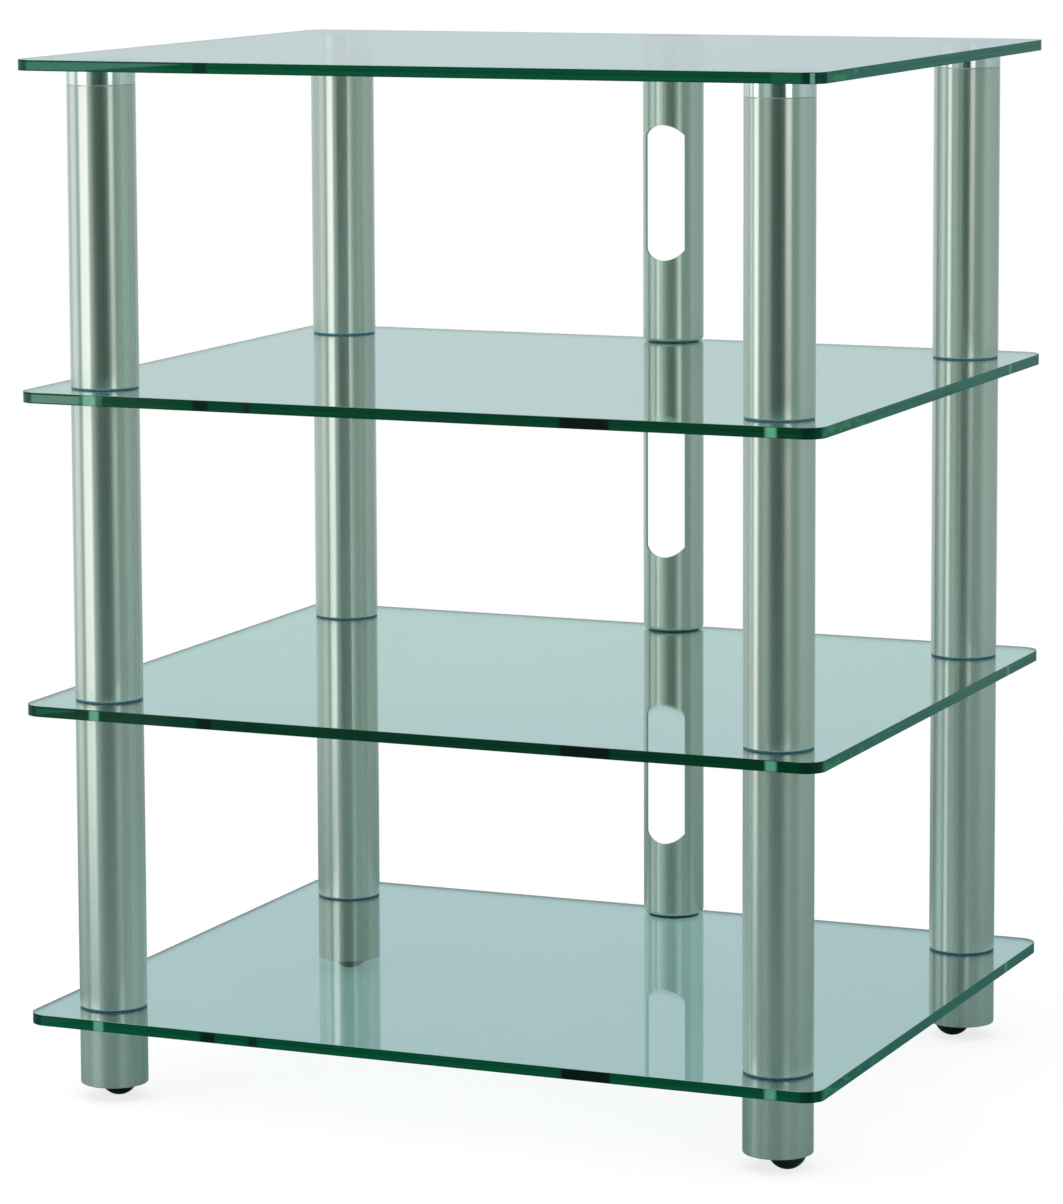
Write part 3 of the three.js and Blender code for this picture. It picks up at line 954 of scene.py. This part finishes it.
def front_window_planes(x, y, middle):
    """The planes round a window: two upright sides, and the facets of its two bowed ends."""
    half = WINDOW_WIDTH / 2
    planes = [
        (Vector((x - half, y, middle)), Vector((-1, 0, 0))),
        (Vector((x + half, y, middle)), Vector((1, 0, 0))),
    ]
    half_angle = math.asin(half / WINDOW_END_RADIUS)
    arc_centre = WINDOW_HEIGHT / 2 - WINDOW_END_RADIUS
    for end in (-1, 1):
        centre = Vector((x, y, middle + end * arc_centre))
        for step in range(WINDOW_ARC_STEPS):
            angle = half_angle * (2 * (step + 0.5) / WINDOW_ARC_STEPS - 1)
            direction = Vector((math.sin(angle), 0, end * math.cos(angle)))
            planes.append((centre + direction * WINDOW_END_RADIUS, direction))
    return planes


def rear_opening_planes(x, y, middle):
    """The planes round a rear opening: its turned front limit, its foot and its head."""
    half = REAR_OPENING_HEIGHT / 2
    turn = math.radians(REAR_OPENING_TURN)
    rearward = Vector((-math.sin(turn), math.cos(turn), 0))
    return [
        (Vector((x, y, middle)) + REAR_OPENING_SETBACK * rearward, -rearward),
        (Vector((x, y, middle - half)), Vector((0, 0, -1))),
        (Vector((x, y, middle + half)), Vector((0, 0, 1))),
    ]


def cable_tube(level):
    """A length of the cable column, with round-edged ends, a window in front and an opening behind."""
    node = f"cable_tube_{level}"
    x, y, low, high = node_middle(node)
    radius = node_radius(node)
    middle = (low + high) / 2
    bm = bmesh.new()
    verts = [
        bm.verts.new((x + r, y, z))
        for r, z in ((CABLE_BORE_RADIUS, low), (radius, low), (radius, high), (CABLE_BORE_RADIUS, high))
    ]
    edges = [bm.edges.new(pair) for pair in zip(verts, verts[1:])]
    bmesh.ops.spin(
        bm, geom=verts + edges, cent=(x, y, 0), axis=UP, angle=math.tau,
        steps=ROUND_STEPS, use_merge=True, use_duplicate=False,
    )
    tidy(bm)
    bmesh.ops.bevel(
        bm, geom=sharp_rims(bm), offset=CABLE_TUBE_EDGE_RADIUS, offset_type="OFFSET",
        affect="EDGES", segments=CABLE_EDGE_STEPS, profile=0.5, material=-1, clamp_overlap=True,
    )
    past_bend = BEND_CLEARANCE * CABLE_TUBE_EDGE_RADIUS
    for height in (low + past_bend, high - past_bend):
        bmesh.ops.bisect_plane(
            bm, geom=bm.verts[:] + bm.edges[:] + bm.faces[:], dist=MERGE_DISTANCE,
            plane_co=(x, y, height), plane_no=UP,
        )
    cut_window(bm, y, front_window_planes(x, y, middle + WINDOW_RISE), True)
    cut_window(bm, y, rear_opening_planes(x, y, middle), False)
    tidy(bm)
    bmesh.ops.solidify(bm, geom=bm.faces[:], thickness=TUBE_WALL)
    crease(bm)
    return make_piece(f"slotted_tube_{level}", bm, (COLUMN_STEEL,), RACK, "brushed_steel", node)


def cable_joint(level):
    """The spool that joins two lengths of the cable column through a shelf."""
    node = f"cable_joint_{level}"
    x, y, low, high = node_middle(node)
    flange = node_radius(node)
    glass_low, glass_high = (corner.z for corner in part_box(f"glass_shelf_{level}"))
    bm = turn_profile([
        (0, low),
        (CABLE_SCREW_RADIUS, low),
        (CABLE_SCREW_RADIUS, glass_low - CABLE_FLANGE_THICKNESS),
        (flange, glass_low - CABLE_FLANGE_THICKNESS),
        (flange, glass_low),
        (CABLE_CORE_RADIUS, glass_low),
        (CABLE_CORE_RADIUS, glass_high),
        (flange, glass_high),
        (flange, glass_high + CABLE_FLANGE_THICKNESS),
        (CABLE_SCREW_RADIUS, glass_high + CABLE_FLANGE_THICKNESS),
        (CABLE_SCREW_RADIUS, high),
        (0, high),
    ], x, y, SMALL_ROUND_STEPS)
    crease(bm)
    return make_piece(f"column_spool_{level}", bm, (DARK_VINYL,), RACK, "dark_vinyl", node)


def cable_base_screw():
    """The screw that holds the cable column from under the bottom shelf."""
    node = "cable_base_screw"
    x, y, low, high = node_middle(node)
    head_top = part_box("cable_base_bush")[0].z
    head_radius = node_radius(node)
    shank = [(CABLE_SCREW_RADIUS, head_top), (CABLE_SCREW_RADIUS, high)]
    bm = turn_profile(
        [(0, low), (head_radius, low), (head_radius, head_top), *shank, (0, high)],
        x, y, SMALL_ROUND_STEPS,
    )
    round_over(bm, sharp_rims(bm, 60), FINE_ARRIS, 2)
    return make_piece("column_screw", bm, (ZINC,), RACK, "zinc_steel", node)


def cable_top_pad():
    """The disc under the top shelf that holds the top of the cable column."""
    node = "cable_top_pad"
    x, y, low, high = node_middle(node)
    flange = node_radius(node)
    bm = turn_profile([
        (0, low),
        (CABLE_SCREW_RADIUS, low),
        (CABLE_SCREW_RADIUS, high - CABLE_FLANGE_THICKNESS),
        (flange, high - CABLE_FLANGE_THICKNESS),
        (flange, high),
        (0, high),
    ], x, y, SMALL_ROUND_STEPS)
    crease(bm)
    return make_piece("column_top_disc", bm, (DARK_VINYL,), RACK, "dark_vinyl", node)


def add_fittings():
    """Each post's cap, the rod inside it, and the clear rings round its holes in the glass."""
    for corner in CORNERS:
        top_cap(corner)
        threaded_rod(f"post_rod_{corner}", f"tie_rod_{corner}", RACK, ROD_THREAD_LENGTH)
        for level in LEVELS:
            flanged_bush(
                f"glass_washer_{corner}_{level}",
                f"shelf_grommet_{corner}_{level}",
                f"glass_shelf_{level}",
                GROMMET_CORE_RADIUS,
                BORE_RADIUS,
                CLEAR_VINYL,
                "clear_vinyl",
            )


def add_feet():
    """Each corner's plug, and the stem and pad that screw out of it."""
    for corner in CORNERS:
        foot_plug(corner)
        threaded_rod(
            f"stem_{corner}_thread", f"foot_stem_{corner}", f"stem_{corner}", PLUG_STEM_DEPTH,
        )
        foot_pad(corner)


def add_cable_column():
    """The slimmer column at the back, with its windows, joints, bush, screw and top disc."""
    for level in ("upper", "middle", "lower"):
        cable_tube(level)
    for level in ("upper", "lower"):
        cable_joint(level)
    flanged_bush(
        "column_base_bush",
        "cable_base_bush",
        "glass_shelf_bottom",
        CABLE_CORE_RADIUS,
        CABLE_BORE_RADIUS,
        DARK_VINYL,
        "dark_vinyl",
    )
    cable_base_screw()
    cable_top_pad()


def join_bands(nodes, links, direction):
    """The studio round the rack as colour bands, by bearing to the right of the camera."""
    turn = nodes.new("ShaderNodeMapping")
    turn.vector_type = "POINT"
    turn.inputs["Rotation"].default_value = (0, 0, math.radians(90 - CAMERA_BEARING))
    links.new(direction, turn.inputs["Vector"])
    around = nodes.new("ShaderNodeTexGradient")
    around.gradient_type = "RADIAL"
    links.new(turn.outputs["Vector"], around.inputs["Vector"])
    ramp = nodes.new("ShaderNodeValToRGB")
    links.new(around.outputs["Fac"], ramp.inputs["Fac"])
    stops = ramp.color_ramp.elements
    stops[0].color = (*STUDIO_BANDS[0][1], 1)
    stops[1].color = (*STUDIO_BANDS[-1][1], 1)
    for bearing, colour in STUDIO_BANDS[1:-1]:
        stops.new(0.5 + bearing / 360).color = (*colour, 1)
    return ramp.outputs["Color"]


def colour_by_ray(nodes, links, path, camera, glossy, transmission):
    """One colour for what the camera sees, one for what metal shows and one for what glass shows."""
    through = nodes.new("ShaderNodeMix")
    through.data_type = "RGBA"
    links.new(path.outputs["Is Transmission Ray"], through.inputs["Factor"])
    direct = nodes.new("ShaderNodeMix")
    direct.data_type = "RGBA"
    links.new(path.outputs["Is Camera Ray"], direct.inputs["Factor"])
    links.new(through.outputs[2], direct.inputs[6])
    sockets = (through.inputs[6], through.inputs[7], direct.inputs[7])
    for socket, value in zip(sockets, (glossy, transmission, camera)):
        if isinstance(value, tuple):
            socket.default_value = (*value, 1)
        else:
            links.new(value, socket)
    return direct.outputs[2]


def add_floor():
    """A pale floor with the rack's shadow, which runs out into the backdrop."""
    bm = bmesh.new()
    bmesh.ops.create_grid(bm, x_segments=8, y_segments=8, size=FLOOR_REACH)
    mesh = bpy.data.meshes.new("studio_floor")
    bm.to_mesh(mesh)
    bm.free()
    floor = bpy.data.objects.new("studio_floor", mesh)
    bpy.context.scene.collection.objects.link(floor)

    material = bpy.data.materials.new("studio_floor")
    material.use_nodes = True
    mesh.materials.append(material)
    nodes = material.node_tree.nodes
    links = material.node_tree.links
    nodes.remove(nodes["Principled BSDF"])
    path = nodes.new("ShaderNodeLightPath")
    place = nodes.new("ShaderNodeTexCoord").outputs["Object"]

    paper = nodes.new("ShaderNodeBsdfDiffuse")
    near_in_glass = tuple(PAPER_SHARE_IN_GLASS * value for value in PAPER_THROUGH_GLASS)
    near = colour_by_ray(nodes, links, path, FLOOR_PAPER, PAPER_IN_METAL, near_in_glass)
    links.new(near, paper.inputs["Color"])
    lift = nodes.new("ShaderNodeEmission")
    lift_in_glass = tuple(LIFT_SHARE_IN_GLASS * value for value in PAPER_THROUGH_GLASS)
    lift_colour = colour_by_ray(nodes, links, path, FLOOR_LIFT, BLACK, lift_in_glass)
    links.new(lift_colour, lift.inputs["Color"])
    lifted = nodes.new("ShaderNodeAddShader")
    links.new(paper.outputs["BSDF"], lifted.inputs[0])
    links.new(lift.outputs["Emission"], lifted.inputs[1])

    backdrop = nodes.new("ShaderNodeEmission")
    bands = join_bands(nodes, links, place)
    far = colour_by_ray(nodes, links, path, WHITE, bands, BACKDROP_THROUGH_GLASS)
    links.new(far, backdrop.inputs["Color"])

    distance = nodes.new("ShaderNodeVectorMath")
    distance.operation = "LENGTH"
    links.new(place, distance.inputs[0])
    sweep = nodes.new("ShaderNodeMapRange")
    sweep.interpolation_type = "SMOOTHSTEP"
    sweep.inputs["From Min"].default_value = PAPER_REACH[0]
    sweep.inputs["From Max"].default_value = PAPER_REACH[1]
    links.new(distance.outputs["Value"], sweep.inputs["Value"])
    whole = nodes.new("ShaderNodeMixShader")
    links.new(sweep.outputs["Result"], whole.inputs["Fac"])
    links.new(lifted.outputs["Shader"], whole.inputs[1])
    links.new(backdrop.outputs["Emission"], whole.inputs[2])
    links.new(whole.outputs["Shader"], nodes["Material Output"].inputs["Surface"])


def add_world():
    """White for the camera, the studio's bands for metal and glass, and plain light for the rest."""
    world = bpy.data.worlds.new("soft_studio")
    bpy.context.scene.world = world
    world.use_nodes = True
    nodes = world.node_tree.nodes
    links = world.node_tree.links
    path = nodes.new("ShaderNodeLightPath")
    place = nodes.new("ShaderNodeTexCoord").outputs["Generated"]
    backdrop = nodes.new("ShaderNodeBackground")
    bands = join_bands(nodes, links, place)
    seen = colour_by_ray(nodes, links, path, WHITE, bands, bands)
    links.new(seen, backdrop.inputs["Color"])
    light = nodes.new("ShaderNodeBackground")
    light.inputs["Color"].default_value = (*PLAIN_LIGHT, 1)
    shiny = nodes.new("ShaderNodeMath")
    shiny.operation = "MAXIMUM"
    links.new(path.outputs["Is Glossy Ray"], shiny.inputs[0])
    links.new(path.outputs["Is Transmission Ray"], shiny.inputs[1])
    shown = nodes.new("ShaderNodeMath")
    shown.operation = "MAXIMUM"
    links.new(path.outputs["Is Camera Ray"], shown.inputs[0])
    links.new(shiny.outputs["Value"], shown.inputs[1])
    choice = nodes.new("ShaderNodeMixShader")
    links.new(shown.outputs["Value"], choice.inputs["Fac"])
    links.new(light.outputs["Background"], choice.inputs[1])
    links.new(backdrop.outputs["Background"], choice.inputs[2])
    links.new(choice.outputs["Shader"], nodes["World Output"].inputs["Surface"])


def add_softbox(name, place, aim, width, tall, brightness):
    """A rectangular soft lamp. Its brightness is what a perfect mirror would show, where 1 is white."""
    data = bpy.data.lights.new(name, "AREA")
    data.shape = "RECTANGLE"
    data.size = width
    data.size_y = tall
    data.energy = brightness * math.pi * width * tall
    data.color = LAMP_COLOUR
    lamp = bpy.data.objects.new(name, data)
    ahead = Vector(aim) - Vector(place)
    lamp.matrix_world = (
        Matrix.Translation(place) @ ahead.to_track_quat("-Z", "Y").to_matrix().to_4x4()
    )
    lamp.visible_camera = False
    bpy.context.scene.collection.objects.link(lamp)


def add_lamps():
    """Soft lamps to the left, at the side, to the right and above."""
    add_softbox("softbox_left", (-0.725, -0.765, 1.0), (-0.465, 0.2, 1.0), 0.47, 1.9, 1.0)
    add_softbox("softbox_side", (-1.0, -0.27, 1.0), (0, -0.1, 1.0), 0.40, 1.9, 0.3)
    add_softbox("softbox_right", (1.35, -1.2, 1.30), (0, 0, 1.30), 0.50, 1.3, 1.35)
    add_softbox("softbox_above", (0.0, -0.2, 2.6), (0, 0, 0), 2.2, 2.2, 1.1)


add_camera()
add_world()
add_floor()
add_lamps()
add_shelves()
add_posts()
add_fittings()
add_feet()
add_cable_column()

bpy.context.scene.view_settings.view_transform = "Standard"
